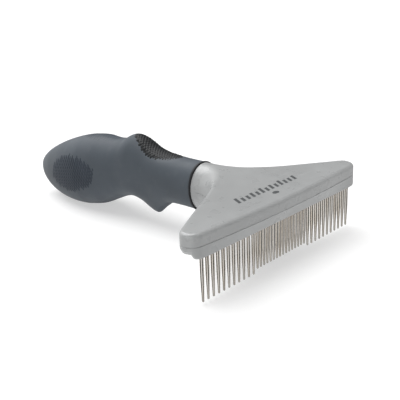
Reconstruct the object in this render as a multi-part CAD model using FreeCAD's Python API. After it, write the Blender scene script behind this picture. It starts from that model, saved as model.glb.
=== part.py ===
import FreeCAD, Part
import math
import os

# Undercoat rake, in millimetres. +X runs along the row of teeth, +Y back along the handle, +Z up.
# The origin is the middle of the tooth row, on the bottom face of the strip that the teeth come out of.

Vec = FreeCAD.Vector
UP = Vec(0, 0, 1)
QUARTER_FULLNESS = 0.5523

# cutting solids reach FAR, past every piece, and cross the face that they cut by CUT_OVERLAP
FAR = 200.0
CUT_OVERLAP = 1.0

# tooth row
COARSE_PITCH = 3.22
FINE_PITCH = 2.28
COARSE_EACH_END = 11
FINE_IN_MIDDLE = 16
COARSE_REACH = 20.0
FINE_REACH = 18.2
ROOT_RADIUS = 0.88
TIP_RADIUS = 0.48
TAPER_START = -9.0
TOOTH_HEAD_RADIUS = 1.05
TOOTH_HEAD_HEIGHT = 1.1
BORE_CLEARANCE = 0.05
TOOTH_SEAT_Z = 4.0
CHANNEL_ROOM = 0.2

# head, made of a cover and a base that meet in one flat plane
PARTING_Z = 5.3
HEAD_HALF_LENGTH = 58.7
PLATE_TOP_Z = 10.8
PLATE_BOTTOM_Z = 1.2
FRONT_Y = -4.2
FRONT_BOW = 2.6
FOOT_BOW = 0.3
HEAD_WALL = 2.2
TOP_EDGE_RADIUS = 1.8
LOW_EDGE_RADIUS = 3.7
LEAST_RADIUS = 0.5
LEAST_FLAT = 0.15
STEEPEST_SLANT = 2.6
SLOPE_STEP = 0.5
STRIP_HALF_DEPTH = 1.9
STRIP_OVERHANG = 3.0

# neck and collar
NECK_RISE_END_Y = 42.0
NECK_DROP_START_Y = 8.0
COLLAR_END_Y = 45.6
COLLAR_HALF_WIDTH = 9.3
COLLAR_HALF_HEIGHT = 11.7
ROUNDING_START_Y = 23.0
ROUNDING_END_Y = 42.0
HEAD_STATIONS = [-6, -4.5, -3, -2, -1, *range(10), *range(10, 30, 2), *range(30, 45, 3)]

# half width of the head at each distance back from the tooth row: front corners, wings, then the neck
HEAD_SIDE = [
    (-6.0, 43.0),
    (-3.6, 49.5),
    (-2.4, 53.0),
    (-1.5, 55.4),
    (-0.4, 57.2),
    (1.2, 58.3),
    (3.6, HEAD_HALF_LENGTH),
    (5.7, 58.0),
    (7.6, 55.5),
    (10.0, 50.5),
    (15.0, 39.5),
    (20.0, 27.5),
    (24.0, 19.3),
    (28.0, 14.4),
    (33.0, 11.4),
    (39.0, 9.8),
    (COLLAR_END_Y, COLLAR_HALF_WIDTH),
]

# tooth retainer, neck ring, pin and screws
RETAINER_HALF_DEPTH = 1.4
RETAINER_THICKNESS = 1.2
RETAINER_OVERHANG = 1.6
RIB_PLACES = [-48, -24, 0, 24, 48]
RIB_THICKNESS = 1.2
PRESS_ROOM = 0.02
RING_LENGTH = 1.2
RING_STANDS_PROUD = 0.35
GRIP_START_Y = COLLAR_END_Y + RING_LENGTH
SPIGOT_START_Y = 38.0
PIN_Y = 41.8
PIN_RADIUS = 1.5
PIN_HALF_LENGTH = 8.4
SCREW_PLACES = [(-38.0, 8.0), (38.0, 8.0), (-13.0, 19.0), (13.0, 19.0)]
SCREW_RADIUS = 1.1
SCREW_HEAD_RADIUS = 2.1
SCREW_HEAD_HEIGHT = 1.5
SCREW_TIP_Z = 9.0
SCREW_SEAT_Z = 2.8
PILOT_ROOM = 0.3
BOSS_RADIUS = 3.2

# handle: y, top z, side z, bottom z, half width, fullness of the lower half
HANDLE = [
    (46.0, 17.0, 5.3, -6.4, 9.3, 2.2),
    (57.0, 17.0, 5.3, -6.3, 9.3, 2.2),
    (66.0, 17.3, 5.2, -7.2, 9.5, 2.1),
    (71.0, 17.6, 4.8, -10.4, 9.7, 1.8),
    (77.5, 19.0, 4.6, -15.0, 9.9, 1.5),
    (85.0, 22.8, 5.0, -10.4, 10.3, 1.9),
    (91.0, 24.0, 5.0, -8.6, 10.8, 2.2),
    (98.0, 20.9, 4.4, -10.0, 11.5, 2.2),
    (106.0, 19.6, 3.0, -13.4, 12.9, 2.2),
    (116.0, 19.8, 1.0, -17.8, 14.3, 2.2),
    (126.0, 18.5, -0.8, -20.1, 15.0, 2.2),
]
UPPER_FULLNESS = 2.2
SECTION_POINTS = 24
NOSE_START_Y = 126.0
NOSE_END_Y = 171.0
NOSE_POWER = 1.7
NOSE_DROP = 5.0
GRIP_THICKNESS = 2.6
CORE_WALL = 2.0
SPIGOT_HALF_WIDTH = COLLAR_HALF_WIDTH - GRIP_THICKNESS
SPIGOT_HALF_HEIGHT = COLLAR_HALF_HEIGHT - GRIP_THICKNESS
PAD_DEPTH = 0.9
PAD_STANDS_PROUD = 0.2

# pads, as ovals seen from above or from the side: Y of the centre, half length, half size across
THUMB_PAD = (74.0, 17.5, 7.2)
PALM_PAD = (114.0, 16.0, 6.8)
SIDE_PAD = (128.5, 21.5, 10.7)
SIDE_PAD_Z = -0.5
SIDE_PAD_TILT = 11.5
PAD_START_Z = 8.0
PAD_START_X = 5.0


def tooth_places():
    """The X of each tooth, from -X to +X, with the coarse ones outside."""
    edge = [COARSE_PITCH] * (COARSE_EACH_END - 1)
    between = [(COARSE_PITCH + FINE_PITCH) / 2]
    gaps = edge + between + [FINE_PITCH] * (FINE_IN_MIDDLE - 1) + between + edge
    places = [-sum(gaps) / 2]
    for gap in gaps:
        places.append(places[-1] + gap)
    return places


def is_coarse(index):
    """Whether a tooth is one of the longer, coarse ones at either end."""
    return not COARSE_EACH_END <= index < COARSE_EACH_END + FINE_IN_MIDDLE


def smoothstep(t):
    """An S-shaped rise from 0 to 1 as t goes from 0 to 1."""
    t = min(max(t, 0.0), 1.0)
    return t * t * (3 - 2 * t)


def along(stations, y):
    """The values of a station list at y, on a smooth curve through the stations."""
    places = [row[0] for row in stations]
    y = min(max(y, places[0]), places[-1])
    last = len(stations) - 1
    i = max(k for k in range(last) if places[k] <= y)
    here, there = stations[i], stations[i + 1]
    before, after = stations[max(i - 1, 0)], stations[min(i + 2, last)]
    span = there[0] - here[0]
    t = (y - here[0]) / span
    values = []
    for k in range(1, len(here)):
        slope_here = (there[k] - before[k]) / (there[0] - before[0]) * span
        slope_there = (after[k] - here[k]) / (after[0] - here[0]) * span
        values.append(
            (2 * t**3 - 3 * t**2 + 1) * here[k]
            + (t**3 - 2 * t**2 + t) * slope_here
            + (3 * t**2 - 2 * t**3) * there[k]
            + (t**3 - t**2) * slope_there
        )
    return values


def box(low, high):
    """A box between two corners."""
    return Part.makeBox(*[h - l for l, h in zip(low, high)], Vec(*low))


def quarter(start, corner, end):
    """A quarter of an ellipse from start to end, bulging towards corner."""
    curve = Part.BezierCurve()
    towards = [p + (corner - p) * QUARTER_FULLNESS for p in (start, end)]
    curve.setPoles([start, *towards, end])
    return curve.toShape()


# ---- head ----


def head_limits(y):
    """Half width, top and bottom of the head at y."""
    half_width = along(HEAD_SIDE, y)[0]
    collar_top = PARTING_Z + COLLAR_HALF_HEIGHT
    collar_bottom = PARTING_Z - COLLAR_HALF_HEIGHT
    rise = smoothstep(y / NECK_RISE_END_Y)
    drop = smoothstep((y - NECK_DROP_START_Y) / (NECK_RISE_END_Y - NECK_DROP_START_Y))
    top = PLATE_TOP_Z + (collar_top - PLATE_TOP_Z) * rise
    bottom = PLATE_BOTTOM_Z + (collar_bottom - PLATE_BOTTOM_Z) * drop
    return half_width, top, bottom


def head_section(y, side, inset):
    """Half of the head's outline at y, above (side 1) or below (side -1) the parting plane.

    It is flat with rounded corners at the wings, and the corners grow into a full oval at the collar.
    An inset outline crosses the parting plane a little, so that it cuts cleanly.
    """
    half_width, top, bottom = head_limits(y)
    height = top - PARTING_Z if side > 0 else PARTING_Z - bottom
    radius = TOP_EDGE_RADIUS if side > 0 else LOW_EDGE_RADIUS
    ahead, behind = [along(HEAD_SIDE, y + step)[0] for step in (SLOPE_STEP, -SLOPE_STEP)]
    slope = (ahead - behind) / (2 * SLOPE_STEP)
    slant = min(math.sqrt(1 + slope * slope), STEEPEST_SLANT)
    half_width -= inset * slant
    height -= inset
    radius = max(radius - inset, LEAST_RADIUS)
    roundness = smoothstep((y - ROUNDING_START_Y) / (ROUNDING_END_Y - ROUNDING_START_Y))
    across = radius * slant + (half_width - radius * slant) * roundness
    across = min(across, half_width - LEAST_FLAT)
    tall = min(radius + (height - radius) * roundness, height - LEAST_FLAT)
    start = -CUT_OVERLAP if inset else 0

    def at(x, up):
        return Vec(x, y, PARTING_Z + side * up)

    right = [at(half_width, height - tall), at(half_width, height), at(half_width - across, height)]
    left = [at(across - half_width, height), at(-half_width, height), at(-half_width, height - tall)]
    edges = [
        Part.makeLine(at(half_width, start), right[0]),
        quarter(*right),
        Part.makeLine(right[2], left[0]),
        quarter(*left),
        Part.makeLine(left[2], at(-half_width, start)),
        Part.makeLine(at(-half_width, start), at(half_width, start)),
    ]
    return Part.Wire(edges)


def front_outline(z, front_y, bow, inset):
    """A wide outline at height z, with a front edge that bows back by bow towards its ends."""
    middle = Vec(0, front_y + inset, z)
    front = [Vec(sign * HEAD_HALF_LENGTH, front_y + bow + inset, z) for sign in (-1, 1)]
    back = [Vec(p.x, FAR, z) for p in front]
    arc = Part.Arc(front[0], middle, front[1]).toShape()
    sides = Part.makePolygon([front[1], back[1], back[0], front[0]]).Edges
    return Part.Wire([arc] + sides)


def front_limit(side, inset):
    """Everything behind the head's bowed front face, which leans back to the strip's foot on the base."""
    face = (FRONT_Y, FRONT_BOW, inset)
    foot = (-STRIP_HALF_DEPTH, FOOT_BOW, inset)
    outlines = [front_outline(-FAR, *(face if side > 0 else foot))]
    if side < 0:
        outlines += [front_outline(0, *foot), front_outline(PARTING_Z, *face)]
    outlines.append(front_outline(FAR, *face))
    return Part.makeLoft(outlines, True, True)


def head_half(side, inset, end_y):
    """A solid half of the head, from its bowed front back to end_y."""
    sections = [head_section(y, side, inset) for y in HEAD_STATIONS + [end_y]]
    solid = Part.makeLoft(sections, True, False)
    return solid.common(front_limit(side, inset))


def head_shell(side):
    """The cover's or the base's hollow moulding, open at the parting plane and at the collar's end."""
    outside = head_half(side, 0, COLLAR_END_Y)
    return outside.cut(head_half(side, HEAD_WALL, COLLAR_END_Y + CUT_OVERLAP))


def room_inside(side):
    """The space within the middle of the moulding's wall, which inner posts and ribs fill up to."""
    low, high = (PARTING_Z, FAR) if side > 0 else (-FAR, PARTING_Z)
    return head_half(side, HEAD_WALL / 2, COLLAR_END_Y).common(box((-FAR, -FAR, low), (FAR, FAR, high)))


def row_block(half_depth, low, high, overhang):
    """A bar along the tooth row with rounded ends."""
    half = tooth_places()[-1] + overhang
    middle = box((-half + half_depth, -half_depth, low), (half - half_depth, half_depth, high))
    centres = [Vec(sign * (half - half_depth), 0, low) for sign in (-1, 1)]
    ends = [Part.makeCylinder(half_depth, high - low, centre) for centre in centres]
    return middle.fuse(ends).removeSplitter()


def core_pin(room=0.0):
    """The steel cross pin, lying in the parting plane, or with some room round it its seat."""
    half = PIN_HALF_LENGTH + room
    start = Vec(-half, PIN_Y, PARTING_Z)
    return Part.makeCylinder(PIN_RADIUS + room, 2 * half, start, Vec(1, 0, 0))


def screw_bosses(low, high):
    """A round post at each screw."""
    return [Part.makeCylinder(BOSS_RADIUS, high - low, Vec(x, y, low)) for x, y in SCREW_PLACES]


def head_cover():
    """The upper moulding, with ribs that press on the retainer and a boss over each screw."""
    room = room_inside(1)
    retainer_top = PARTING_Z + RETAINER_THICKNESS
    additions = screw_bosses(PARTING_Z, FAR)
    for x in RIB_PLACES:
        low = (x - RIB_THICKNESS / 2, FRONT_Y, retainer_top)
        high = (x + RIB_THICKNESS / 2, RETAINER_HALF_DEPTH, FAR)
        additions.append(box(low, high))
    cover = head_shell(1).fuse([piece.common(room) for piece in additions])
    cuts = [core_pin(PRESS_ROOM), tooth_retainer(PRESS_ROOM)]
    pilot_length = SCREW_TIP_Z + PILOT_ROOM - PARTING_Z
    for x, y in SCREW_PLACES:
        cuts.append(Part.makeCylinder(SCREW_RADIUS + PRESS_ROOM, pilot_length, Vec(x, y, PARTING_Z)))
    return cover.cut(cuts)


def head_base():
    """The lower moulding, with the tooth strip, its bores and the seats of the screws."""
    room = room_inside(-1)
    bosses = [boss.common(room) for boss in screw_bosses(-FAR, PARTING_Z)]
    strip = row_block(STRIP_HALF_DEPTH, 0, PARTING_Z, STRIP_OVERHANG)
    base = head_shell(-1).fuse(bosses + [strip])
    channel_half = TOOTH_HEAD_RADIUS + CHANNEL_ROOM
    channel = row_block(channel_half, TOOTH_SEAT_Z, PARTING_Z + CUT_OVERLAP, channel_half + CHANNEL_ROOM)
    cuts = [channel, core_pin(PRESS_ROOM)]
    bore_length = TOOTH_SEAT_Z + 2 * CUT_OVERLAP
    for x in tooth_places():
        cuts.append(Part.makeCylinder(ROOT_RADIUS + BORE_CLEARANCE, bore_length, Vec(x, 0, -CUT_OVERLAP)))
    for x, y in SCREW_PLACES:
        below = Vec(x, y, -FAR)
        cuts.append(Part.makeCylinder(SCREW_RADIUS + BORE_CLEARANCE, 2 * FAR, below))
        cuts.append(Part.makeCylinder(SCREW_HEAD_RADIUS + CHANNEL_ROOM, SCREW_SEAT_Z + FAR, below))
    return base.cut(cuts)


def tooth_retainer(room=0.0):
    """The strip that closes the channel over the teeth's heads, or with some room round it its slot."""
    top = PARTING_Z + RETAINER_THICKNESS
    return row_block(RETAINER_HALF_DEPTH + room, PARTING_Z, top, RETAINER_OVERHANG + room)


def tooth(x, reach):
    """One tooth: a round head, a straight shank and a long taper to a rounded tip."""
    head_top = TOOTH_SEAT_Z + BORE_CLEARANCE + TOOTH_HEAD_HEIGHT
    shoulder = TOOTH_SEAT_Z + BORE_CLEARANCE
    tip_start = -reach + TIP_RADIUS
    outline = [
        Vec(x, 0, head_top),
        Vec(x + TOOTH_HEAD_RADIUS, 0, head_top),
        Vec(x + TOOTH_HEAD_RADIUS, 0, shoulder),
        Vec(x + ROOT_RADIUS, 0, shoulder),
        Vec(x + ROOT_RADIUS, 0, TAPER_START),
        Vec(x + TIP_RADIUS, 0, tip_start),
    ]
    end = Vec(x, 0, -reach)
    slant = TIP_RADIUS * math.sqrt(0.5)
    tip = Part.Arc(outline[-1], Vec(x + slant, 0, tip_start - slant), end).toShape()
    edges = Part.makePolygon(outline).Edges + [tip, Part.makeLine(end, outline[0])]
    return Part.Face(Part.Wire(edges)).revolve(Vec(x, 0, 0), UP, 360)


def head_screws():
    """The self-tapping screws that hold the base to the cover."""
    screws = []
    for x, y in SCREW_PLACES:
        head_bottom = Vec(x, y, SCREW_SEAT_Z - SCREW_HEAD_HEIGHT)
        head = Part.makeCylinder(SCREW_HEAD_RADIUS, SCREW_HEAD_HEIGHT, head_bottom)
        shank = Part.makeCylinder(SCREW_RADIUS, SCREW_TIP_Z - SCREW_SEAT_Z, Vec(x, y, SCREW_SEAT_Z))
        screws.append(head.fuse(shank).removeSplitter())
    return Part.makeCompound(screws)


# ---- handle ----


def handle_limits(y, inset):
    """Top, side and bottom heights, half width and lower fullness of the handle at y."""
    top, side, bottom, half_width, fullness = along(HANDLE, y)
    top -= inset
    bottom += inset
    half_width -= inset
    if y > NOSE_START_Y:
        t = min((y - NOSE_START_Y) / (NOSE_END_Y - inset - NOSE_START_Y), 1.0)
        size = (1 - t**NOSE_POWER) ** (1 / NOSE_POWER)
        dropped = side - NOSE_DROP * math.sin(t * math.pi / 2)
        top, bottom = dropped + (top - side) * size, dropped + (bottom - side) * size
        side = dropped
        half_width *= size
    return top, side, bottom, half_width, fullness


def oval_section(y, half_width, above, below, side, upper_fullness, lower_fullness):
    """A closed smooth outline at y whose upper and lower halves meet at height side."""
    points = []
    for k in range(SECTION_POINTS):
        angle = 2 * math.pi * (k + 0.5) / SECTION_POINTS
        upper = math.sin(angle) > 0
        power = 2 / (upper_fullness if upper else lower_fullness)
        across = math.copysign(abs(math.cos(angle)) ** power, math.cos(angle))
        tall = math.copysign(abs(math.sin(angle)) ** power, math.sin(angle))
        points.append(Vec(half_width * across, y, side + (above if upper else below) * tall))
    curve = Part.BSplineCurve()
    curve.interpolate(points, PeriodicFlag=True)
    return Part.Wire(curve.toShape())


def handle_section(y, inset):
    """The handle's outline at y, made smaller by inset."""
    top, side, bottom, half_width, fullness = handle_limits(y, inset)
    return oval_section(y, half_width, top - side, side - bottom, side, UPPER_FULLNESS, fullness)


def handle_stations(inset):
    """Where the handle's sections stand: closer together round the finger guard and at the rounded end."""
    front = [GRIP_START_Y, 50, 54, 58, 62, 65, 67.5]
    guard = [69.5 + 2 * step for step in range(8)]
    back = [86, 88.5, 91, 93.5, 96, 99, 102, 106, 110, 114, 118, 122, NOSE_START_Y]
    reach = NOSE_END_Y - inset - NOSE_START_Y
    angles = [8, 16, 24, 32, 40, 48, 55, 62, 68, 74, 79, 83, 86]
    nose = [NOSE_START_Y + reach * math.sin(math.radians(angle)) for angle in angles]
    return front + guard + back + nose


def oval_prism(start, half_long, half_across, axis):
    """A long oval prism, standing along Z, or lying along X with its oval's front end tilted up."""
    ellipse = Part.Ellipse(Vec(0, 0, 0), half_long, half_across).toShape()
    prism = Part.Face(Part.Wire(ellipse)).extrude(UP * FAR)
    prism.rotate(Vec(0, 0, 0), UP, 90)
    if axis == "x":
        prism.rotate(Vec(0, 0, 0), Vec(0, 1, 0), 90)
        prism.rotate(Vec(0, 0, 0), Vec(1, 0, 0), -SIDE_PAD_TILT)
    prism.translate(start)
    return prism


def pad_regions():
    """Where each textured pad lies, as a prism that passes through the grip's surface."""
    thumb_y, thumb_long, thumb_across = THUMB_PAD
    palm_y, palm_long, palm_across = PALM_PAD
    side_y, side_long, side_tall = SIDE_PAD
    return {
        "thumb_pad": oval_prism(Vec(0, thumb_y, PAD_START_Z), thumb_long, thumb_across, "z"),
        "palm_pad": oval_prism(Vec(0, palm_y, PAD_START_Z), palm_long, palm_across, "z"),
        "side_pad_left": oval_prism(Vec(-PAD_START_X - FAR, side_y, SIDE_PAD_Z), side_long, side_tall, "x"),
        "side_pad_right": oval_prism(Vec(PAD_START_X, side_y, SIDE_PAD_Z), side_long, side_tall, "x"),
    }


def neck_ring():
    """The thin ring between the collar and the grip."""
    half_width = COLLAR_HALF_WIDTH + RING_STANDS_PROUD
    half_height = COLLAR_HALF_HEIGHT + RING_STANDS_PROUD
    ends = [
        oval_section(y, half_width, half_height, half_height, PARTING_Z, UPPER_FULLNESS, UPPER_FULLNESS)
        for y in (COLLAR_END_Y, GRIP_START_Y)
    ]
    return Part.makeLoft(ends, True, True).cut(Part.makeLoft(core_sections(0), True, True))


def handle_sections(inset):
    """The handle's outlines from the neck ring to the rounded end, made smaller by inset."""
    return [handle_section(y, inset) for y in handle_stations(inset)]


def core_sections(inset):
    """The core's outlines: an oval spigot in front of the grip, and the grip's shape made smaller behind."""
    half_width = SPIGOT_HALF_WIDTH - inset
    half_height = SPIGOT_HALF_HEIGHT - inset
    spigot = [half_width, half_height, half_height, PARTING_Z, UPPER_FULLNESS, UPPER_FULLNESS]
    return [oval_section(SPIGOT_START_Y, *spigot)] + handle_sections(GRIP_THICKNESS + inset)


def hollow_loft(outer, inner):
    """The solid between two nested lofts that start in one plane and are open there."""
    open_y = outer[0].Vertexes[0].Y
    faces = Part.Face(outer[0]).cut(Part.Face(inner[0])).Faces
    for sections, inward in ((outer, False), (inner, True)):
        closed = Part.makeLoft(sections, True, True).Faces
        kept = [face for face in closed if face.CenterOfMass.y > open_y + LEAST_FLAT]
        faces += [face.reversed() if inward else face for face in kept]
    shell = Part.makeShell(faces)
    shell.sewShape()
    return Part.makeSolid(shell)


def handle_core_half(side):
    """One half of the hollow core and its spigot: side -1 lies in -X, side 1 in +X."""
    core = hollow_loft(core_sections(0), core_sections(CORE_WALL))
    low_x, high_x = (0, FAR) if side > 0 else (-FAR, 0)
    return core.common(box((low_x, 0, -FAR), (high_x, FAR, FAR))).cut(core_pin(PRESS_ROOM))


def grip_sleeve():
    """The soft overmould, with a shallow recess for each pad."""
    pad_floor = Part.makeLoft(handle_sections(PAD_DEPTH), True, True)
    sleeve = hollow_loft(handle_sections(0), handle_sections(GRIP_THICKNESS))
    for region in pad_regions().values():
        sleeve = sleeve.cut(region.cut(pad_floor))
    return sleeve


def surface_pad(region):
    """One textured pad, let into the grip and standing slightly proud of it."""
    pad_floor = Part.makeLoft(handle_sections(PAD_DEPTH), True, True)
    pad_top = Part.makeLoft(handle_sections(-PAD_STANDS_PROUD), True, True)
    return pad_top.common(region).cut(pad_floor)


def build():
    """Every piece of the rake, by node name."""
    pieces = {
        "head_cover": head_cover(),
        "head_base": head_base(),
        "tooth_retainer": tooth_retainer(),
        "head_screws": head_screws(),
        "core_pin": core_pin(),
        "neck_ring": neck_ring(),
        "handle_core_left": handle_core_half(-1),
        "handle_core_right": handle_core_half(1),
        "grip_sleeve": grip_sleeve(),
    }
    for name, region in pad_regions().items():
        pieces[name] = surface_pad(region)
    for index, x in enumerate(tooth_places()):
        reach = COARSE_REACH if is_coarse(index) else FINE_REACH
        pieces[f"tooth_{index + 1:02d}"] = tooth(x, reach)
    return pieces


os.makedirs("parts", exist_ok=True)
for name, shape in build().items():
    shape.exportStep(f"parts/{name}.step")
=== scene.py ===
import math

import bmesh
import bpy
import numpy as np
from mathutils import Matrix, Vector
from mathutils.kdtree import KDTree


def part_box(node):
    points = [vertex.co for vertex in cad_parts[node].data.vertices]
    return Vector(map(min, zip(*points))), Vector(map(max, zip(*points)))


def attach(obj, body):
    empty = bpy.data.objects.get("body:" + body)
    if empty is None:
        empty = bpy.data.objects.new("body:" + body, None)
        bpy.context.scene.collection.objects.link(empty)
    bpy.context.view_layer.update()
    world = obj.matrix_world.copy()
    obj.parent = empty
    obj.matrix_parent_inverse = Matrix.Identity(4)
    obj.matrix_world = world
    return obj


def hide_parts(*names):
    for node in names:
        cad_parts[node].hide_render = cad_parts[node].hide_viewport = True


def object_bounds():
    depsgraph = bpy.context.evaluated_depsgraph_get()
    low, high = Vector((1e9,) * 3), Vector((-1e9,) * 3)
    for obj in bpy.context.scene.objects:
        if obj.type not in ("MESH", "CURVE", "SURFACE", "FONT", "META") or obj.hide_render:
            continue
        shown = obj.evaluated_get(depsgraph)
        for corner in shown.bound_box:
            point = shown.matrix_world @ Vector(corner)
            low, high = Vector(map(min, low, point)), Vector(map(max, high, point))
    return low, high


# The looks of an undercoat rake. Shapes are worked out in millimetres, in the frame of the CAD
# model (+X along the teeth, +Y back along the handle, +Z up), and made in metres.

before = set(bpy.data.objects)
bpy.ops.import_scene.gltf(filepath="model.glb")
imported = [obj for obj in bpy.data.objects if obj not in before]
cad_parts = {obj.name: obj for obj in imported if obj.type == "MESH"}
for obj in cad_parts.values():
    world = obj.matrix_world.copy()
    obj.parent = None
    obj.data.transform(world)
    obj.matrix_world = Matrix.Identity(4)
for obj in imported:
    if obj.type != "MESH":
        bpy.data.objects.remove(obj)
cad_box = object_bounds()

MM = 0.001
BODY = "rake_body"


def low(node):
    """The lowest corner of a CAD node, in millimetres."""
    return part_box(node)[0] / MM


def high(node):
    """The highest corner of a CAD node, in millimetres."""
    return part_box(node)[1] / MM


# places that the CAD model gives
PARTING_Z = high("head_base").z
HEAD_HALF_LENGTH = high("head_cover").x
COLLAR_END_Y = high("head_cover").y
COLLAR_TOP_Z = high("head_cover").z
FRONT_Y = low("head_cover").y
GRIP_START_Y = low("grip_sleeve").y
RING_PROUD = high("neck_ring").z - COLLAR_TOP_Z
TEETH = sorted(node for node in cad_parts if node.startswith("tooth_") and node[-1].isdigit())

# head: the same shape as the CAD model's
PLATE_TOP_Z = 10.8
PLATE_BOTTOM_Z = 1.2
FRONT_BOW = 2.6
TOP_EDGE_RADIUS = 1.8
LOW_EDGE_RADIUS = 3.7
NECK_RISE_END_Y = 42.0
NECK_DROP_START_Y = 8.0
ROUNDING_START_Y = 23.0
ROUNDING_END_Y = 42.0
COLLAR_HALF_WIDTH = 9.3
COLLAR_HALF_HEIGHT = COLLAR_TOP_Z - PARTING_Z
COLLAR_FULLNESS = 2.2
# seen from above: y, half width
HEAD_SIDE = [
    (-6.0, 43.0),
    (-3.6, 49.5),
    (-2.4, 53.0),
    (-1.5, 55.4),
    (-0.4, 57.2),
    (1.2, 58.3),
    (3.6, HEAD_HALF_LENGTH),
    (5.7, 58.0),
    (7.6, 55.5),
    (10.0, 50.5),
    (15.0, 39.5),
    (20.0, 27.5),
    (24.0, 19.3),
    (28.0, 14.4),
    (33.0, 11.4),
    (39.0, 9.8),
    (COLLAR_END_Y, COLLAR_HALF_WIDTH),
]
SIDE_START_Y = -3.5
OUTLINE_STEP = 0.35
CORNER_EASE = 1.2
SEAM_DEPTH = 0.26
LIP_EDGE_RADIUS = 0.4
LIP_BOTTOM_Z = 0.08
LIP_FACING = 0.55
LIP_FADE = 0.4
INK_PROUD = 0.03
RING_RIM_RADIUS = 0.35
RING_DEPTH = 1.5

# strip that the teeth come out of, with its bores
STRIP_HALF_DEPTH = 1.9
STRIP_OVERHANG = 3.0
STRIP_EDGE_RADIUS = 0.3
STRIP_TOP_Z = PLATE_BOTTOM_Z + 1.5
BORE_RADIUS = 0.93
BORE_LEAD_IN = 0.2
BORE_TOP_Z = 2.2

# screws and their seats in the base
BETWEEN_SCREW_ROWS_Y = 13.5
SCREW_HEAD_RADIUS = 2.1
SCREW_HEAD_HEIGHT = 1.5
SCREW_DOME_HEIGHT = 0.5
SCREW_SHANK_RADIUS = 1.1
SCREW_TIP_RADIUS = 0.8
SCREW_TIP_LENGTH = 0.4
CROSS_HALF_LENGTH = 1.25
CROSS_HALF_WIDTH = 0.28
CROSS_DEPTH = 0.9
SEAT_RADIUS = 2.5
SEAT_TOP_Z = 2.8
CLEAR_BELOW_Z = -20

# teeth
ROOT_RADIUS = 0.88
TIP_RADIUS = 0.48
TAPER_START = -9.0
TOOTH_HEAD_RADIUS = 1.05
TOOTH_HEAD_HEIGHT = 1.1
TOOTH_BEVEL = 0.1

# handle: y, top z, side z, bottom z, half width, fullness of the lower half
HANDLE = [
    (46.0, 17.0, 5.3, -6.4, 9.3, 2.2),
    (57.0, 17.0, 5.3, -6.3, 9.3, 2.2),
    (66.0, 17.3, 5.2, -7.2, 9.5, 2.1),
    (71.0, 17.6, 4.8, -10.4, 9.7, 1.8),
    (77.5, 19.0, 4.6, -15.0, 9.9, 1.5),
    (85.0, 22.8, 5.0, -10.4, 10.3, 1.9),
    (91.0, 24.0, 5.0, -8.6, 10.8, 2.2),
    (98.0, 20.9, 4.4, -10.0, 11.5, 2.2),
    (106.0, 19.6, 3.0, -13.4, 12.9, 2.2),
    (116.0, 19.8, 1.0, -17.8, 14.3, 2.2),
    (126.0, 18.5, -0.8, -20.1, 15.0, 2.2),
]
UPPER_FULLNESS = 2.2
NOSE_START_Y = 126.0
NOSE_END_Y = 171.0
NOSE_POWER = 1.7
NOSE_DROP = 5.0
GRIP_THICKNESS = 2.6
GRIP_EDGE_RADIUS = 0.5

# pads: Y of the centre, half length, half size across
THUMB_PAD = (74.0, 17.5, 6.6)
PALM_PAD = (114.0, 16.0, 6.8)
SIDE_PAD = (128.5, 21.5, 10.7)
SIDE_PAD_Z = -0.5
SIDE_PAD_TILT = math.radians(11.5)
PAD_GROUND = -0.16
PAD_THICKNESS = 0.5

# studio
STUDIO_PANELS = 3
FLOOR_GREY = (0.52, 0.52, 0.52)
FLOOR_GLOW = 0.5
SKY_GREY = 0.24
BACKDROP_GREY = 0.97


# ---- curves and meshes ----


def smoothstep(t):
    """An S-shaped rise from 0 to 1 as t goes from 0 to 1."""
    t = np.clip(t, 0.0, 1.0)
    return t * t * (3 - 2 * t)


def along(stations, y):
    """Each column of a station list at the places y, on smooth curves through the stations."""
    table = np.array(stations, float)
    places, values = table[:, 0], table[:, 1:]
    y = np.clip(y, places[0], places[-1])
    i = np.clip(np.searchsorted(places, y, side="right") - 1, 0, len(places) - 2)
    before, after = np.maximum(i - 1, 0), np.minimum(i + 2, len(places) - 1)
    span = places[i + 1] - places[i]
    t = ((y - places[i]) / span)[..., None]
    slope_here = (values[i + 1] - values[before]) * (span / (places[i + 1] - places[before]))[..., None]
    slope_there = (values[after] - values[i]) * (span / (places[after] - places[i]))[..., None]
    found = (
        (2 * t**3 - 3 * t**2 + 1) * values[i]
        + (t**3 - 2 * t**2 + t) * slope_here
        + (3 * t**2 - 2 * t**3) * values[i + 1]
        + (t**3 - t**2) * slope_there
    )
    return np.moveaxis(found, -1, 0)


def signed_power(value, power):
    """value to a power, keeping its sign."""
    return np.sign(value) * np.abs(value) ** power


def grid_faces(rows, columns, wrap=False):
    """The quads of a grid of points, closed round each row if wrap is set."""
    faces = []
    for i in range(rows - 1):
        here, next_row = i * columns, (i + 1) * columns
        for j in range(columns if wrap else columns - 1):
            k = (j + 1) % columns
            faces.append((here + j, here + k, next_row + k, next_row + j))
    return faces


def grid_normals(points, wrap=False):
    """The unit normals of a grid of points."""
    if wrap:
        round_it = np.roll(points, -1, 1) - np.roll(points, 1, 1)
    else:
        round_it = np.gradient(points, axis=1)
    normals = np.cross(round_it, np.gradient(points, axis=0))
    return normals / np.maximum(np.linalg.norm(normals, axis=-1, keepdims=True), 1e-9)


def mesh_piece(name, points, faces, material, sharp_angle=35):
    """A closed, smooth-shaded piece from points in millimetres, riding on the rake's body."""
    mesh = bpy.data.meshes.new(name)
    mesh.from_pydata((np.reshape(points, (-1, 3)) * MM).tolist(), [], faces)
    piece = bpy.data.objects.new(name, mesh)
    bpy.context.scene.collection.objects.link(piece)
    clean_up(piece, sharp_angle)
    mesh.materials.append(material)
    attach(piece, BODY)
    return piece


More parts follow.
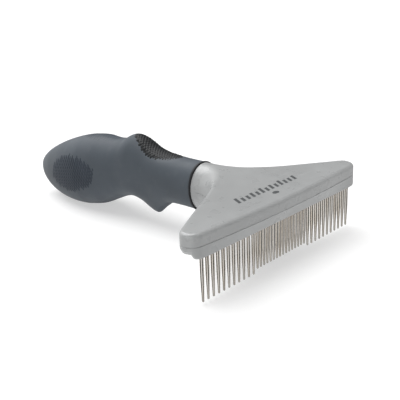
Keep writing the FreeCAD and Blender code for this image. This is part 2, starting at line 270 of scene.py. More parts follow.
def closed_sheet(upper, under):
    """Points and faces of the closed solid between two grids of points."""
    rows, columns = upper.shape[:2]
    count = rows * columns
    faces = grid_faces(rows, columns)
    faces += [tuple(count + index for index in reversed(face)) for face in faces]
    border = list(range(columns)) + [i * columns + columns - 1 for i in range(1, rows)]
    border += [count - 1 - j for j in range(1, columns)] + [i * columns for i in range(rows - 2, 0, -1)]
    for here, there in zip(border, border[1:] + border[:1]):
        faces.append((here, there, count + there, count + here))
    return np.concatenate([upper.reshape(-1, 3), under.reshape(-1, 3)]), faces


def clean_up(piece, sharp_angle):
    """Welds doubled points, turns every face outwards and shades the mesh smooth up to an angle."""
    work = bmesh.new()
    work.from_mesh(piece.data)
    bmesh.ops.remove_doubles(work, verts=work.verts, dist=1e-7)
    bmesh.ops.dissolve_degenerate(work, edges=work.edges, dist=1e-8)
    bmesh.ops.recalc_face_normals(work, faces=work.faces)
    work.to_mesh(piece.data)
    work.free()
    piece.data.shade_smooth()
    piece.data.set_sharp_from_angle(angle=math.radians(sharp_angle))


def cut(piece, cutters, sharp_angle=35):
    """Takes the cutters, one mesh object each, out of a piece."""
    for cutter in cutters:
        modifier = piece.modifiers.new("cut", "BOOLEAN")
        modifier.object = cutter
        modifier.operation = "DIFFERENCE"
        modifier.solver = "EXACT"
    bpy.context.view_layer.update()
    shape = bpy.data.meshes.new_from_object(piece.evaluated_get(bpy.context.evaluated_depsgraph_get()))
    piece.modifiers.clear()
    piece.data = shape
    clean_up(piece, sharp_angle)
    for cutter in cutters:
        bpy.data.objects.remove(cutter)


def lathe(profile, centre, segments):
    """Points and faces of a closed round shape from (radius, z) pairs, about a vertical axis."""
    angles = np.linspace(0, 2 * math.pi, segments, endpoint=False)
    radius, z = np.array(profile, float).T
    points = np.stack([
        centre[0] + radius[:, None] * np.cos(angles),
        centre[1] + radius[:, None] * np.sin(angles),
        np.broadcast_to(z[:, None], (len(z), segments)),
    ], -1)
    faces = grid_faces(len(z), segments, wrap=True)
    return points.reshape(-1, 3), faces


def joined(shapes):
    """Several (points, faces) shapes as one."""
    points, faces = [], []
    count = 0
    for these_points, these_faces in shapes:
        points.append(these_points)
        faces += [tuple(index + count for index in face) for face in these_faces]
        count += len(these_points)
    return np.concatenate(points), faces


def cutter_from(shapes):
    """A bare mesh object for cutting with, from closed shapes."""
    points, faces = joined(shapes)
    mesh = bpy.data.meshes.new("cutter")
    mesh.from_pydata((points * MM).tolist(), [], faces)
    cutter = bpy.data.objects.new("cutter", mesh)
    bpy.context.scene.collection.objects.link(cutter)
    clean_up(cutter, 30)
    return cutter


# ---- materials ----


def new_material(name, colour, roughness, metallic=0.0):
    """A material, its principled shader and its node tree."""
    material = bpy.data.materials.new(name)
    material.use_nodes = True
    tree = material.node_tree
    shader = tree.nodes["Principled BSDF"]
    shader.inputs["Base Color"].default_value = (*colour, 1)
    shader.inputs["Roughness"].default_value = roughness
    shader.inputs["Metallic"].default_value = metallic
    return material, tree, shader


def noise(tree, scale, detail, stretch=(1, 1, 1)):
    """A noise pattern in the object's own coordinates, with scale in features to the metre."""
    place = tree.nodes.new("ShaderNodeTexCoord")
    mapping = tree.nodes.new("ShaderNodeMapping")
    mapping.inputs["Scale"].default_value = stretch
    pattern = tree.nodes.new("ShaderNodeTexNoise")
    pattern.inputs["Scale"].default_value = scale
    pattern.inputs["Detail"].default_value = detail
    tree.links.new(place.outputs["Object"], mapping.inputs["Vector"])
    tree.links.new(mapping.outputs["Vector"], pattern.inputs["Vector"])
    return pattern.outputs["Fac"]


def ranged(tree, value, low_in, high_in, low_out, high_out):
    """A value's range from low_in to high_in, carried to the range from low_out to high_out."""
    node = tree.nodes.new("ShaderNodeMapRange")
    node.inputs["From Min"].default_value = low_in
    node.inputs["From Max"].default_value = high_in
    node.inputs["To Min"].default_value = low_out
    node.inputs["To Max"].default_value = high_out
    tree.links.new(value, node.inputs["Value"])
    return node.outputs["Result"]


def blended(tree, factor, first, second):
    """A colour between first and second, each a colour or a socket."""
    node = tree.nodes.new("ShaderNodeMix")
    node.data_type = "RGBA"
    tree.links.new(factor, node.inputs["Factor"])
    for name, colour in (("A", first), ("B", second)):
        socket = [s for s in node.inputs if s.name == name and s.type == "RGBA"][0]
        if isinstance(colour, tuple):
            socket.default_value = (*colour, 1)
        else:
            tree.links.new(colour, socket)
    return [s for s in node.outputs if s.type == "RGBA"][0]


def bumped(tree, shader, heights):
    """Bumps the shader by (height socket, strength, distance in metres) layers."""
    normal = None
    for height, strength, distance in heights:
        node = tree.nodes.new("ShaderNodeBump")
        node.inputs["Strength"].default_value = strength
        node.inputs["Distance"].default_value = distance
        tree.links.new(height, node.inputs["Height"])
        if normal:
            tree.links.new(normal, node.inputs["Normal"])
        normal = node.outputs["Normal"]
    tree.links.new(normal, shader.inputs["Normal"])


def scaled(colour, factor):
    """A colour made lighter or darker."""
    return tuple(channel * factor for channel in colour)


def moulded_plastic(name, colour, roughness=0.3):
    """Moulded plastic: fine spark texture, faint clouds of colour, hairline scratches, paler worn edges."""
    material, tree, shader = new_material(name, colour, roughness)
    clouds = ranged(tree, noise(tree, 45, 4), 0.3, 0.7, 0, 1)
    colours = blended(tree, clouds, scaled(colour, 0.95), scaled(colour, 1.05))
    specks = ranged(tree, noise(tree, 2600, 2), 0.62, 0.75, 0, 0.35)
    colours = blended(tree, specks, colours, scaled(colour, 0.82))
    edges = tree.nodes.new("ShaderNodeNewGeometry").outputs["Pointiness"]
    worn = ranged(tree, edges, 0.52, 0.58, 0, 0.3)
    colours = blended(tree, worn, colours, scaled(colour, 1.25))
    tree.links.new(colours, shader.inputs["Base Color"])
    shine = ranged(tree, noise(tree, 170, 5), 0.3, 0.7, roughness - 0.06, roughness + 0.08)
    tree.links.new(shine, shader.inputs["Roughness"])
    texture = noise(tree, 3600, 2)
    scratches = ranged(tree, noise(tree, 300, 2, (1, 14, 1)), 0.68, 0.7, 0, -1)
    bumped(tree, shader, [(texture, 0.18, 0.00006), (scratches, 0.03, 0.00004)])
    return material


def soft_rubber(name, colour, roughness=0.58):
    """Soft overmould: matt, finely grained, with a bloom of dust in clouds and handling shine."""
    material, tree, shader = new_material(name, colour, roughness)
    clouds = ranged(tree, noise(tree, 38, 5), 0.32, 0.68, 0, 1)
    colours = blended(tree, clouds, scaled(colour, 0.9), scaled(colour, 1.1))
    bloom = ranged(tree, noise(tree, 210, 6), 0.55, 0.8, 0, 0.22)
    colours = blended(tree, bloom, colours, tuple(channel + 0.05 for channel in colour))
    tree.links.new(colours, shader.inputs["Base Color"])
    shine = ranged(tree, noise(tree, 80, 4), 0.3, 0.7, roughness - 0.08, roughness + 0.08)
    tree.links.new(shine, shader.inputs["Roughness"])
    shader.inputs["Specular IOR Level"].default_value = 0.3
    shader.inputs["Sheen Weight"].default_value = 0.08
    shader.inputs["Sheen Roughness"].default_value = 0.5
    bumped(tree, shader, [(noise(tree, 4200, 2), 0.3, 0.00005), (noise(tree, 320, 3), 0.12, 0.0001)])
    return material


def scaled_rubber(name, colour, groove_shade_colour, roughness=0.45):
    """Rubber with moulded scales: painted shade darkens the grooves, and the top of each scale is a little
    polished.
    """
    material, tree, shader = new_material(name, colour, roughness)
    shader.inputs["Specular IOR Level"].default_value = 0.25
    height = tree.nodes.new("ShaderNodeAttribute")
    height.attribute_name = "scale_height"
    raised = ranged(tree, height.outputs["Fac"], 0.1, 0.8, 0, 1)
    clouds = ranged(tree, noise(tree, 60, 4), 0.3, 0.7, 0, 1)
    tops = blended(tree, clouds, scaled(colour, 0.88), scaled(colour, 1.12))
    # painted shade: the grooves between the scales get the darker groove colour
    tree.links.new(blended(tree, raised, groove_shade_colour, tops), shader.inputs["Base Color"])
    tree.links.new(ranged(tree, raised, 0, 1, roughness + 0.2, roughness), shader.inputs["Roughness"])
    bumped(tree, shader, [(noise(tree, 5000, 2), 0.25, 0.00004)])
    return material


def drawn_steel(name, colour, roughness):
    """Polished wire: bright, with fine marks along its length and a slightly duller, warmer haze."""
    material, tree, shader = new_material(name, colour, roughness, metallic=1.0)
    haze = ranged(tree, noise(tree, 240, 4, (1, 1, 0.25)), 0.35, 0.7, 0, 1)
    colours = blended(tree, haze, colour, (colour[0] * 0.86, colour[1] * 0.82, colour[2] * 0.76))
    tree.links.new(colours, shader.inputs["Base Color"])
    marks = noise(tree, 3000, 3, (1, 1, 0.04))
    shine = ranged(tree, marks, 0.3, 0.7, roughness - 0.08, roughness + 0.1)
    tree.links.new(shine, shader.inputs["Roughness"])
    bumped(tree, shader, [(marks, 0.25, 0.00003)])
    return material


def printed_ink(name, colour):
    """Pad-printed ink: thin, slightly uneven, flatter than the plastic under it."""
    material, tree, shader = new_material(name, colour, 0.5)
    thin = ranged(tree, noise(tree, 1800, 4), 0.55, 0.75, 0, 0.4)
    tree.links.new(blended(tree, thin, colour, scaled(colour, 2.2)), shader.inputs["Base Color"])
    bumped(tree, shader, [(noise(tree, 4000, 2), 0.1, 0.00003)])
    return material


HEAD_GREY = (0.37, 0.377, 0.378)
GRIP_SLATE = (0.074, 0.088, 0.104)
head_plastic = moulded_plastic("head_plastic", HEAD_GREY)
grip_rubber = soft_rubber("grip_rubber", GRIP_SLATE)
# the second colour of each scaled rubber is the painted shade in its grooves
side_rubber = scaled_rubber("side_rubber", (0.044, 0.054, 0.069), (0.032, 0.04, 0.053))
palm_rubber = scaled_rubber("palm_rubber", (0.068, 0.081, 0.097), (0.055, 0.066, 0.08))
thumb_rubber = scaled_rubber("thumb_rubber", (0.012, 0.0135, 0.015), (0.004, 0.0045, 0.005))
ring_rubber = soft_rubber("ring_rubber", (0.014, 0.015, 0.017), 0.5)
inner_plastic = moulded_plastic("inner_plastic", (0.06, 0.062, 0.065), 0.5)
tooth_steel = drawn_steel("tooth_steel", (0.8, 0.77, 0.73), 0.16)
screw_steel = drawn_steel("screw_steel", (0.55, 0.55, 0.54), 0.35)
mark_ink = printed_ink("mark_ink", (0.07, 0.075, 0.078))


# ---- head ----


def head_limits(y):
    """Half width, top and bottom of the head at y."""
    half_width = along(HEAD_SIDE, y)[0]
    rise = smoothstep(y / NECK_RISE_END_Y)
    drop = smoothstep((y - NECK_DROP_START_Y) / (NECK_RISE_END_Y - NECK_DROP_START_Y))
    top = PLATE_TOP_Z + (PARTING_Z + COLLAR_HALF_HEIGHT - PLATE_TOP_Z) * rise
    bottom = PLATE_BOTTOM_Z + (PARTING_Z - COLLAR_HALF_HEIGHT - PLATE_BOTTOM_Z) * drop
    return half_width, top, bottom


def front_y(x):
    """The gently bowed front face, an arc seen from above."""
    bow_radius = (HEAD_HALF_LENGTH**2 + FRONT_BOW**2) / (2 * FRONT_BOW)
    return FRONT_Y + bow_radius - np.sqrt(bow_radius**2 - x**2)


def head_outline():
    """Half of the head's outline seen from above, from the middle of the front to the collar's end.

    Returns the points and their inward normals, evenly spaced, with the front corner eased a little.
    """
    y = np.linspace(SIDE_START_Y, COLLAR_END_Y, 1500)
    side = np.stack([along(HEAD_SIDE, y)[0], y], 1)
    side = side[y > front_y(side[:, 0])]
    x = np.linspace(0, side[0, 0], 600)[:-1]
    rough = np.concatenate([np.stack([x, front_y(x)], 1), side])
    distance = np.concatenate([[0], np.cumsum(np.linalg.norm(np.diff(rough, axis=0), axis=1))])
    count = int(distance[-1] / OUTLINE_STEP) + 1
    even = np.linspace(0, distance[-1], count)
    path = np.stack([np.interp(even, distance, rough[:, k]) for k in range(2)], 1)
    spread = int(CORNER_EASE / OUTLINE_STEP)
    weights = np.hanning(2 * spread + 3)[1:-1]
    weights /= weights.sum()
    before = path[1:spread + 1][::-1] * (-1, 1)
    after = 2 * path[-1] - path[-spread - 1:-1][::-1]
    padded = np.concatenate([before, path, after])
    path = np.stack([np.convolve(padded[:, k], weights, "valid") for k in range(2)], 1)
    path[0, 0] = 0
    tangent = np.gradient(path, axis=0)
    tangent /= np.linalg.norm(tangent, axis=1, keepdims=True)
    normal = np.stack([-tangent[:, 1], tangent[:, 0]], 1)
    normal[0] = (0, 1)
    return path, normal


def head_half(side):
    """Points and faces of the cover (side 1) or the base (side -1), closed at the parting plane.

    The base's front face leans back in a flat lip that ends beside the bottom of the tooth strip.
    The lip is there where the outline faces the front, and fades out round the corners.
    """
    path, normal = head_outline()
    half_width, top, bottom = head_limits(path[:, 1])
    height = top - PARTING_Z if side > 0 else PARTING_Z - bottom
    radius = np.full(len(path), TOP_EDGE_RADIUS if side > 0 else LOW_EDGE_RADIUS)
    lip = smoothstep((normal[:, 1] - LIP_FACING) / LIP_FADE) if side < 0 else np.zeros(len(path))
    lip_height = PARTING_Z - LIP_BOTTOM_Z
    height += (lip_height - height) * lip
    radius += (LIP_EDGE_RADIUS - radius) * lip
    lean = np.maximum(-STRIP_HALF_DEPTH - LIP_EDGE_RADIUS - path[:, 1], 0) * lip
    turning = np.abs(np.gradient(np.unwrap(np.arctan2(normal[:, 1], normal[:, 0])))) / OUTLINE_STEP
    tightest = 1 / np.maximum(np.convolve(turning, np.ones(9) / 9, "same"), 1e-3)
    roundness = smoothstep((path[:, 1] - ROUNDING_START_Y) / (ROUNDING_END_Y - ROUNDING_START_Y))
    inward = np.abs(normal[:, 0])
    across = np.minimum(radius, 0.75 * tightest) * (1 - roundness) + half_width * inward * roundness
    tall = radius + (height - radius) * roundness
    columns = [(np.full(len(path), SEAM_DEPTH), np.zeros(len(path)))]
    for share in np.linspace(0, 1, 6):
        columns.append((np.zeros(len(path)), SEAM_DEPTH + (height - tall - SEAM_DEPTH) * share))
    for angle in np.linspace(0, math.pi / 2, 15)[1:]:
        inset = across * (1 - math.cos(angle))
        columns.append((inset, None if angle == math.pi / 2 else height - tall * (1 - math.sin(angle))))
    right = []
    for inset, rise in columns:
        leaning = lean * (1 if rise is None else rise / height)
        place = path + normal * (inset + leaning)[:, None]
        here_top, here_bottom = head_limits(place[:, 1])[1:]
        here = here_top - PARTING_Z if side > 0 else PARTING_Z - here_bottom
        here = here + (lip_height - here) * lip
        rise = here if rise is None else np.where(rise > height - tall, rise + here - height, rise)
        right.append(np.concatenate([place, (PARTING_Z + side * rise)[:, None]], 1))
    flat = [right[-1] * (share, 1, 1) for share in np.linspace(1, -1, 26)[1:-1]]
    left = [points * (-1, 1, 1) for points in reversed(right)]
    grid = np.stack(right + flat + left, 1)
    rows, columns = grid.shape[:2]
    faces = grid_faces(rows, columns)
    last = (rows - 1) * columns
    faces.append(tuple(range(last, last + columns)))
    for i in range(rows - 1):
        faces.append((i * columns, (i + 1) * columns, (i + 2) * columns - 1, (i + 1) * columns - 1))
    return grid.reshape(-1, 3), faces


def screw_places():
    """The centre of each screw, from the CAD model's four solids."""
    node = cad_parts["head_screws"]
    points = np.array([vertex.co for vertex in node.data.vertices]) / MM
    places = []
    for right in (False, True):
        for back in (False, True):
            wanted = ((points[:, 0] > 0) == right) & ((points[:, 1] > BETWEEN_SCREW_ROWS_Y) == back)
            places.append((points[wanted].min(0) + points[wanted].max(0)) / 2)
    return places


def head_cover():
    """The upper moulding of the head."""
    points, faces = head_half(1)
    piece = mesh_piece("head_cover_shell", points, faces, head_plastic)
    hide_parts("head_cover")


def head_base():
    """The lower moulding, with a seat for each screw."""
    points, faces = head_half(-1)
    piece = mesh_piece("head_base_shell", points, faces, head_plastic)
    seat = [(0, CLEAR_BELOW_Z), (SEAT_RADIUS, CLEAR_BELOW_Z), (SEAT_RADIUS, SEAT_TOP_Z), (0, SEAT_TOP_Z)]
    cut(piece, [cutter_from([lathe(seat, place, 48) for place in screw_places()])])
    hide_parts("head_base")


def tooth_strip():
    """The strip that the teeth come out of, with a bore and a small lead-in at each tooth."""
    centres = [(low(node) + high(node)) / 2 for node in TEETH]
    half = centres[-1].x + STRIP_OVERHANG - STRIP_HALF_DEPTH
    angles = np.linspace(-math.pi / 2, math.pi / 2, 25)
    right = np.stack([half + STRIP_HALF_DEPTH * np.cos(angles), STRIP_HALF_DEPTH * np.sin(angles)], 1)
    outline = np.concatenate([right, -right])
    outward = np.concatenate([np.stack([np.cos(angles), np.sin(angles)], 1)] * 2)
    outward[len(angles):] *= -1
    rings = [(0, STRIP_TOP_Z)]
    for angle in np.linspace(0, math.pi / 2, 6):
        inset = STRIP_EDGE_RADIUS * (1 - math.cos(angle))
        rings.append((inset, STRIP_EDGE_RADIUS * (1 - math.sin(angle))))
    count = len(outline)
    grid = np.stack([
        np.concatenate([outline - outward * inset, np.full((count, 1), z)], 1)
        for inset, z in rings
    ])
    faces = grid_faces(len(rings), count, wrap=True)
    faces += [tuple(range(count)), tuple(range((len(rings) - 1) * count, len(rings) * count))]
    piece = mesh_piece("tooth_strip", grid, faces, head_plastic)
    mouth = BORE_RADIUS + BORE_LEAD_IN
    bore = [(0, -1), (mouth, -1), (mouth, 0), (BORE_RADIUS, BORE_LEAD_IN), (BORE_RADIUS, BORE_TOP_Z)]
    bore.append((0, BORE_TOP_Z))
    cut(piece, [cutter_from([lathe(bore, centre, 24) for centre in centres])])
    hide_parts("head_base")


def neck_ring():
    """The thin black ring between the collar and the grip, with rounded rims."""
    rim = RING_RIM_RADIUS
    start, end = COLLAR_END_Y, GRIP_START_Y
    profile = [(-RING_DEPTH, start)]
    for angle in np.linspace(0, math.pi / 2, 6):
        profile.append((RING_PROUD - rim * (1 - math.sin(angle)), start + rim * (1 - math.cos(angle))))
    for angle in np.linspace(math.pi / 2, 0, 6):
        profile.append((RING_PROUD - rim * (1 - math.sin(angle)), end - rim * (1 - math.cos(angle))))
    profile.append((-RING_DEPTH, end))
    angle = np.linspace(0, 2 * math.pi, 200, endpoint=False)
    power = 2 / COLLAR_FULLNESS
    rows = []
    for proud, y in profile:
        x = (COLLAR_HALF_WIDTH + proud) * signed_power(np.cos(angle), power)
        z = PARTING_Z + (COLLAR_HALF_HEIGHT + proud) * signed_power(np.sin(angle), power)
        rows.append(np.stack([x, np.full(len(angle), y), z], 1))
    rows.append(rows[0])
    points = np.stack(rows)
    faces = grid_faces(len(rows), len(angle), wrap=True)
    piece = mesh_piece("neck_ring_band", points, faces, ring_rubber)
    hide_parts("neck_ring")


# ---- handle ----


def handle_limits(y):
    """Height of the widest line, sizes above and below it, half width and lower fullness at y."""
    top, side, bottom, half_width, fullness = along(HANDLE, y)
    t = np.clip((y - NOSE_START_Y) / (NOSE_END_Y - NOSE_START_Y), 0, 1)
    size = (1 - t**NOSE_POWER) ** (1 / NOSE_POWER)
    dropped = side - NOSE_DROP * np.sin(t * math.pi / 2)
    return dropped, (top - side) * size, (side - bottom) * size, half_width * size, fullness


def handle_points(y, angle):
    """Points on the handle's surface at y and an angle round it."""
    side, above, below, half_width, fullness = handle_limits(y)
    upper = np.sin(angle) > 0
    power = 2 / np.where(upper, UPPER_FULLNESS, fullness)
    x = half_width * signed_power(np.cos(angle), power)
    z = side + np.where(upper, above, below) * signed_power(np.sin(angle), power)
    return np.stack(np.broadcast_arrays(x, y, z), -1)


def grip_sleeve():
    """The soft sleeve, from its rounded front edge to the closed end."""
    edge = GRIP_EDGE_RADIUS
    body = np.arange(GRIP_START_Y + edge, NOSE_START_Y, 0.6)
    nose = NOSE_START_Y + (NOSE_END_Y - NOSE_START_Y) * np.sin(np.linspace(0, math.pi / 2, 90))
    y = np.concatenate([body, nose])[:, None]
    angle = np.linspace(0, 2 * math.pi, 220, endpoint=False)[None, :]
    surface = handle_points(y, angle)
    first = handle_points(np.full((1, 1), GRIP_START_Y), angle)[0]
    outward = first - (0, GRIP_START_Y, PARTING_Z)
    outward /= np.linalg.norm(outward, axis=1, keepdims=True)
    front = [first - outward * GRIP_THICKNESS]
    for turn in np.linspace(0, math.pi / 2, 6)[:-1]:
        drop = edge * (1 - math.sin(turn))
        front.append(first - outward * drop + (0, edge * (1 - math.cos(turn)), 0))
    points = np.concatenate([np.stack(front), surface])
    rows, columns = points.shape[:2]
    faces = grid_faces(rows, columns, wrap=True) + [tuple(range(columns))]
    piece = mesh_piece("grip_sleeve_skin", points, faces, grip_rubber, 50)
    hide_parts("grip_sleeve")


def disc_grid(rows, columns):
    """A grid of points that fills the unit disc, with no point where many faces meet."""
    a = np.linspace(-1, 1, rows)[:, None]
    b = np.linspace(-1, 1, columns)[None, :]
    return a * np.sqrt(1 - b * b / 2), b * np.sqrt(1 - a * a / 2)


def scale_field(lengthways, across, oval, pitch, half_tall, roundness):
    """Height, from 0 to 1, of staggered scales, which fade out unevenly near the oval's edge and front."""
    half_long, half_across = oval
    height = np.zeros_like(lengthways)
    for shift in (0, 1):
        row = np.round((across / half_tall - shift) / 2) * 2 + shift
        column = np.round(lengthways / pitch - shift / 2) + shift / 2
        centre_along, centre_across = column * pitch / half_long, row * half_tall / half_across
        local = ((lengthways / pitch - column) * 2) ** 2 + (across / half_tall - row) ** 2
        uneven = 0.05 * np.sin(3.1 * column + 1.7 * row)
        reach = np.hypot(centre_along, centre_across) + uneven
        present = smoothstep((1.06 - reach) / np.where(centre_along < 0, 0.5, 0.3))
        height = np.maximum(height, np.clip(1 - local, 0, 1) ** roundness * present)
    return height


def pad_mesh(node, place, oval, resolution, scales, rise, material, raised_ground=False):
    """A textured pad on the handle: place gives its surface point for each spot of the oval.

    Its ground lies just under the sleeve's skin, so that the scales stand out of the skin one by one.
    With raised_ground, the ground itself comes up through the skin towards the oval's back end.
    """
    rows, columns = resolution
    half_long, half_across = oval
    a, b = disc_grid(rows, columns)
    surface = place(a * half_long, b * half_across)
    normals = grid_normals(surface)
    middle = surface[rows // 2, columns // 2]
    if np.dot(normals[rows // 2, columns // 2], (middle[0], 0, middle[2])) < 0:
        normals = -normals
    height = scale_field(a * half_long, b * half_across, oval, *scales)
    ground = np.full_like(height, PAD_GROUND)
    if raised_ground:
        inner = smoothstep((1 - np.hypot(a, b)) / 0.3) * smoothstep((a + 0.5) / 0.8)
        ground = PAD_GROUND * (1 - 1.4 * inner)
    lifted = surface + normals * (ground + rise * height)[..., None]
    points, faces = closed_sheet(lifted, surface - normals * PAD_THICKNESS)
    piece = mesh_piece(f"{node}_texture", points, faces, material, 60)
    store_heights(piece, points, np.concatenate([height.ravel(), np.zeros(rows * columns)]))
    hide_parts(node)


def store_heights(piece, points, heights):
    """Keeps each point's scale height on the mesh, matched by place, as cleaning may reorder points."""
    tree = KDTree(len(points))
    for index, point in enumerate(points * MM):
        tree.insert(point, index)
    tree.balance()
    attribute = piece.data.attributes.new("scale_height", "FLOAT", "POINT")
    values = [heights[tree.find(vertex.co)[1]] for vertex in piece.data.vertices]
    attribute.data.foreach_set("value", np.array(values, np.float32))


def top_place(centre_y):
    """Maps (along the handle, across it) to a point on the top of the handle."""
    def place(lengthways, across):
        side, above, _, half_width, _ = handle_limits(centre_y + lengthways)
        share = np.clip(np.abs(across / half_width), 0, 1) ** UPPER_FULLNESS
        z = side + above * (1 - share) ** (1 / UPPER_FULLNESS)
        return np.stack([across, centre_y + lengthways, z], -1)
    return place


def side_place(sign):
    """Maps (along the pad, up it) to a point on the handle's left (-1) or right (1) side."""
    def place(lengthways, upwards):
        y = SIDE_PAD[0] + lengthways * math.cos(SIDE_PAD_TILT) + upwards * math.sin(SIDE_PAD_TILT)
        z = SIDE_PAD_Z - lengthways * math.sin(SIDE_PAD_TILT) + upwards * math.cos(SIDE_PAD_TILT)
        side, above, below, half_width, fullness = handle_limits(y)
        upper = z > side
        power = np.where(upper, UPPER_FULLNESS, fullness)
        share = np.clip(np.abs(z - side) / np.where(upper, above, below), 0, 1) ** power
        x = sign * half_width * (1 - share) ** (1 / power)
        return np.stack([x, y, z], -1)
    return place


def pads():
    """The four textured pads."""
    thumb_y, *thumb_oval = THUMB_PAD
    palm_y, *palm_oval = PALM_PAD
    pad_mesh(
        "thumb_pad", top_place(thumb_y), thumb_oval, resolution=(230, 110), scales=(1.6, 1.1, 0.6),
        rise=0.45, material=thumb_rubber, raised_ground=True,
    )
    pad_mesh(
        "palm_pad", top_place(palm_y), palm_oval, resolution=(170, 80), scales=(1.8, 1.3, 0.5),
        rise=0.26, material=palm_rubber,
    )
    for sign, node in ((-1, "side_pad_left"), (1, "side_pad_right")):
        pad_mesh(
            node, side_place(sign), SIDE_PAD[1:], resolution=(260, 140), scales=(1.9, 1.7, 0.5),
            rise=0.42, material=side_rubber,
        )


# ---- teeth, screws and mark ----


def tooth_pieces():
    """Each tooth as a turned wire pin: a round head, a shank, a long taper and a rounded tip."""
    for node in TEETH:
        bottom, top = low(node), high(node)
        shoulder_z = top.z - TOOTH_HEAD_HEIGHT
        tip_z = bottom.z + TIP_RADIUS
        profile = [
            (0, top.z),
            (TOOTH_HEAD_RADIUS - TOOTH_BEVEL, top.z),
            (TOOTH_HEAD_RADIUS, top.z - TOOTH_BEVEL),
            (TOOTH_HEAD_RADIUS, shoulder_z),
            (ROOT_RADIUS, shoulder_z),
        ]
        profile += [(ROOT_RADIUS, z) for z in np.linspace(shoulder_z - 0.2, TAPER_START, 6)]
        for share in np.linspace(0, 1, 10)[1:]:
            taper = smoothstep(share) * 0.35 + share * 0.65
            radius = ROOT_RADIUS + (TIP_RADIUS - ROOT_RADIUS) * taper
            profile.append((radius, TAPER_START + (tip_z - TAPER_START) * share))
        for angle in np.linspace(0, math.pi / 2, 7)[1:]:
            profile.append((TIP_RADIUS * math.cos(angle), tip_z - TIP_RADIUS * math.sin(angle)))
        points, faces = lathe(profile, (bottom + top) / 2, 32)
        piece = mesh_piece(node + "_pin", points, faces, tooth_steel)
        # a tooth turns with a body of its own, not with the rake's
        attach(piece, node)
        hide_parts(node)


def screws():
    """The four screws: a domed head with a cross recess, and a plain shank."""
    bottom, top = low("head_screws").z, high("head_screws").z
    shoulder_z = bottom + SCREW_HEAD_HEIGHT
    profile = []
    for turn in np.linspace(0, math.pi / 2, 8):
        dome_z = bottom + SCREW_DOME_HEIGHT * (1 - math.cos(turn))
        profile.append((SCREW_HEAD_RADIUS * math.sin(turn), dome_z))
    profile += [
        (SCREW_HEAD_RADIUS, shoulder_z),
        (SCREW_SHANK_RADIUS, shoulder_z),
        (SCREW_SHANK_RADIUS, top - SCREW_TIP_LENGTH),
        (SCREW_TIP_RADIUS, top),
        (0, top),
    ]
    points, faces = joined([lathe(profile, place, 40) for place in screw_places()])
    piece = mesh_piece("head_screw_set", points, faces, screw_steel)
    cutters = []
    for half_x, half_y in ((CROSS_HALF_LENGTH, CROSS_HALF_WIDTH), (CROSS_HALF_WIDTH, CROSS_HALF_LENGTH)):
        heights = (bottom - 1, bottom + CROSS_DEPTH)
        cutters.append(cutter_from([block(place, half_x, half_y, heights) for place in screw_places()]))
    cut(piece, cutters)
    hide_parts("head_screws")


def block(place, half_x, half_y, heights):
    """Points and faces of an upright block centred on place, between two heights."""
    corners = [(-half_x, -half_y), (half_x, -half_y), (half_x, half_y), (-half_x, half_y)]
    points = [(place[0] + x, place[1] + y, z) for z in heights for x, y in corners]
    faces = [(0, 3, 2, 1), (4, 5, 6, 7), (0, 1, 5, 4), (1, 2, 6, 5), (2, 3, 7, 6), (3, 0, 4, 7)]
    return np.array(points, float), faces


def printed_mark():
    """A generic printed mark on the head: a row of leaning bars of different lengths, and a round dot."""
    lengths = [4.2, 3.0, 3.0, 3.6, 3.0, 4.2, 3.0, 3.6, 3.0, 4.2, 3.0, 3.0, 3.6]
    pitch, half_width, lean = 3.3, 0.85, 0.3
    start_y = 6.6
    shapes = []
    for k, length in enumerate(lengths):
        x = (k - (len(lengths) - 1) / 2) * pitch
        across = np.linspace(-half_width, half_width, 4)[:, None]
        upwards = np.linspace(0, length, 9)[None, :]
        shapes.append(print_on_head(x + across + lean * upwards, start_y + upwards + 0 * across))
    a, b = disc_grid(12, 12)
    shapes.append(print_on_head(0.5 + 2.0 * a, 3.4 + 1.2 * b))
    points, faces = joined(shapes)
    mesh_piece("printed_mark", points, faces, mark_ink)


def print_on_head(x, y):
    """A film of ink on the head's top, over the grid of places x and y."""
    film = np.stack([x, y, head_limits(y)[1] + INK_PROUD], -1)
    return closed_sheet(film, film - (0, 0, 2 * INK_PROUD))


def inner_pieces():
    """Materials for the CAD pieces that stay as they are, inside the rake."""
    for node, material in (
        ("tooth_retainer", inner_plastic),
        ("handle_core_left", inner_plastic),
        ("handle_core_right", inner_plastic),
        ("core_pin", screw_steel),
    ):
        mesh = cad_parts[node].data
        mesh.materials.clear()
        mesh.materials.append(material)


# ---- stage, light and camera ----


def floor():
    """A plain pale floor just under the lowest point of the rake, faintly lit from within."""
    material, tree, shader = new_material("floor_acrylic", FLOOR_GREY, 0.8)
    tone = ranged(tree, noise(tree, 6, 2), 0.3, 0.7, 0, 1)
    tree.links.new(blended(tree, tone, FLOOR_GREY, scaled(FLOOR_GREY, 1.03)), shader.inputs["Base Color"])
    shader.inputs["Emission Color"].default_value = (1, 1, 1, 1)
    shader.inputs["Emission Strength"].default_value = FLOOR_GLOW
    size = 4.0
    z = cad_box[0][2]
    mesh = bpy.data.meshes.new("floor")
    corners = [(-size, -size, z), (size, -size, z), (size, size, z), (-size, size, z)]
    mesh.from_pydata(corners, [], [(0, 1, 2, 3)])
    mesh.materials.append(material)
    piece = bpy.data.objects.new("floor", mesh)
    bpy.context.scene.collection.objects.link(piece)
    piece.visible_glossy = False


def soft_light(name, place, target, size, power):
    """A square soft light, with place and target in metres."""
    light = bpy.data.lights.new(name, "AREA")
    light.size = size
    light.energy = power
    lamp = bpy.data.objects.new(name, light)
    lamp.location = place
    lamp.rotation_euler = (Vector(target) - Vector(place)).to_track_quat("-Z", "Y").to_euler()
    bpy.context.scene.collection.objects.link(lamp)


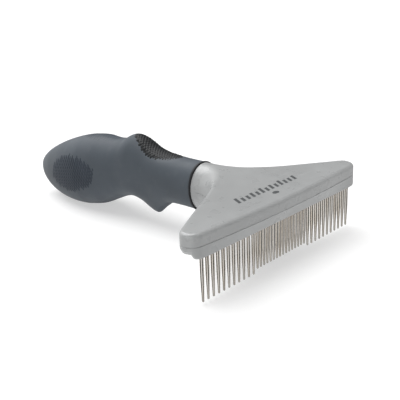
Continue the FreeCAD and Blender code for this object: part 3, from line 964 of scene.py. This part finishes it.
def lights():
    """A wide soft light overhead and a little behind, and two small softboxes on the near side."""
    near_end = (-0.05, 0, 0)
    soft_light("near_left", (-0.6, -0.02, 0.07), near_end, size=0.045, power=0.22)
    soft_light("near_front", (-0.42, -0.36, 0.07), near_end, size=0.045, power=0.17)
    sky = bpy.data.lights.new("overhead", "SUN")
    sky.angle = math.radians(60)
    sky.energy = 3.45
    lamp = bpy.data.objects.new("overhead", sky)
    lamp.rotation_euler = Vector((0, -0.45, -1)).to_track_quat("-Z", "Y").to_euler()
    bpy.context.scene.collection.objects.link(lamp)


def surround():
    """The studio round the rake: an even sky, with panels and dark gaps that only shiny faces mirror."""
    world = bpy.data.worlds.new("surround")
    world.use_nodes = True
    tree = world.node_tree
    direction = tree.nodes.new("ShaderNodeTexCoord")
    turn = tree.nodes.new("ShaderNodeTexGradient")
    turn.gradient_type = "RADIAL"
    tree.links.new(direction.outputs["Generated"], turn.inputs["Vector"])
    wave = tree.nodes.new("ShaderNodeMath")
    wave.operation = "SINE"
    phase = ranged(tree, turn.outputs["Fac"], 0, 1, 0, 2 * math.pi * STUDIO_PANELS)
    tree.links.new(phase, wave.inputs[0])
    panels = ranged(tree, wave.outputs["Value"], -0.1, 0.3, 0.05, 0.9)
    ray = tree.nodes.new("ShaderNodeLightPath").outputs
    soft = blended(tree, ray["Is Diffuse Ray"], panels, (SKY_GREY,) * 3)
    colour = blended(tree, ray["Is Camera Ray"], soft, (BACKDROP_GREY,) * 3)
    tree.links.new(colour, tree.nodes["Background"].inputs["Color"])
    bpy.context.scene.world = world


def camera():
    """The camera: a long lens, a little above the rake, on its front left."""
    place = Vector((-251.8, -188.7, 122.8)) * MM
    azimuth, elevation, roll = (math.radians(angle) for angle in (46.71, 19.88, -2.36))
    forward = Vector((
        math.sin(azimuth) * math.cos(elevation),
        math.cos(azimuth) * math.cos(elevation),
        -math.sin(elevation),
    ))
    lens = bpy.data.cameras.new("camera")
    lens.sensor_width = 36.0
    lens.lens = 69.06
    lens.clip_start = 0.01
    turned = forward.to_track_quat("-Z", "Y").to_matrix() @ Matrix.Rotation(roll, 3, "Z")
    view = bpy.data.objects.new("camera", lens)
    view.matrix_world = Matrix.Translation(place) @ turned.to_4x4()
    bpy.context.scene.collection.objects.link(view)
    bpy.context.scene.camera = view
    bpy.context.scene.view_settings.view_transform = "Standard"


head_cover()
head_base()
tooth_strip()
neck_ring()
grip_sleeve()
pads()
tooth_pieces()
screws()
printed_mark()
inner_pieces()
floor()
lights()
surround()
camera()
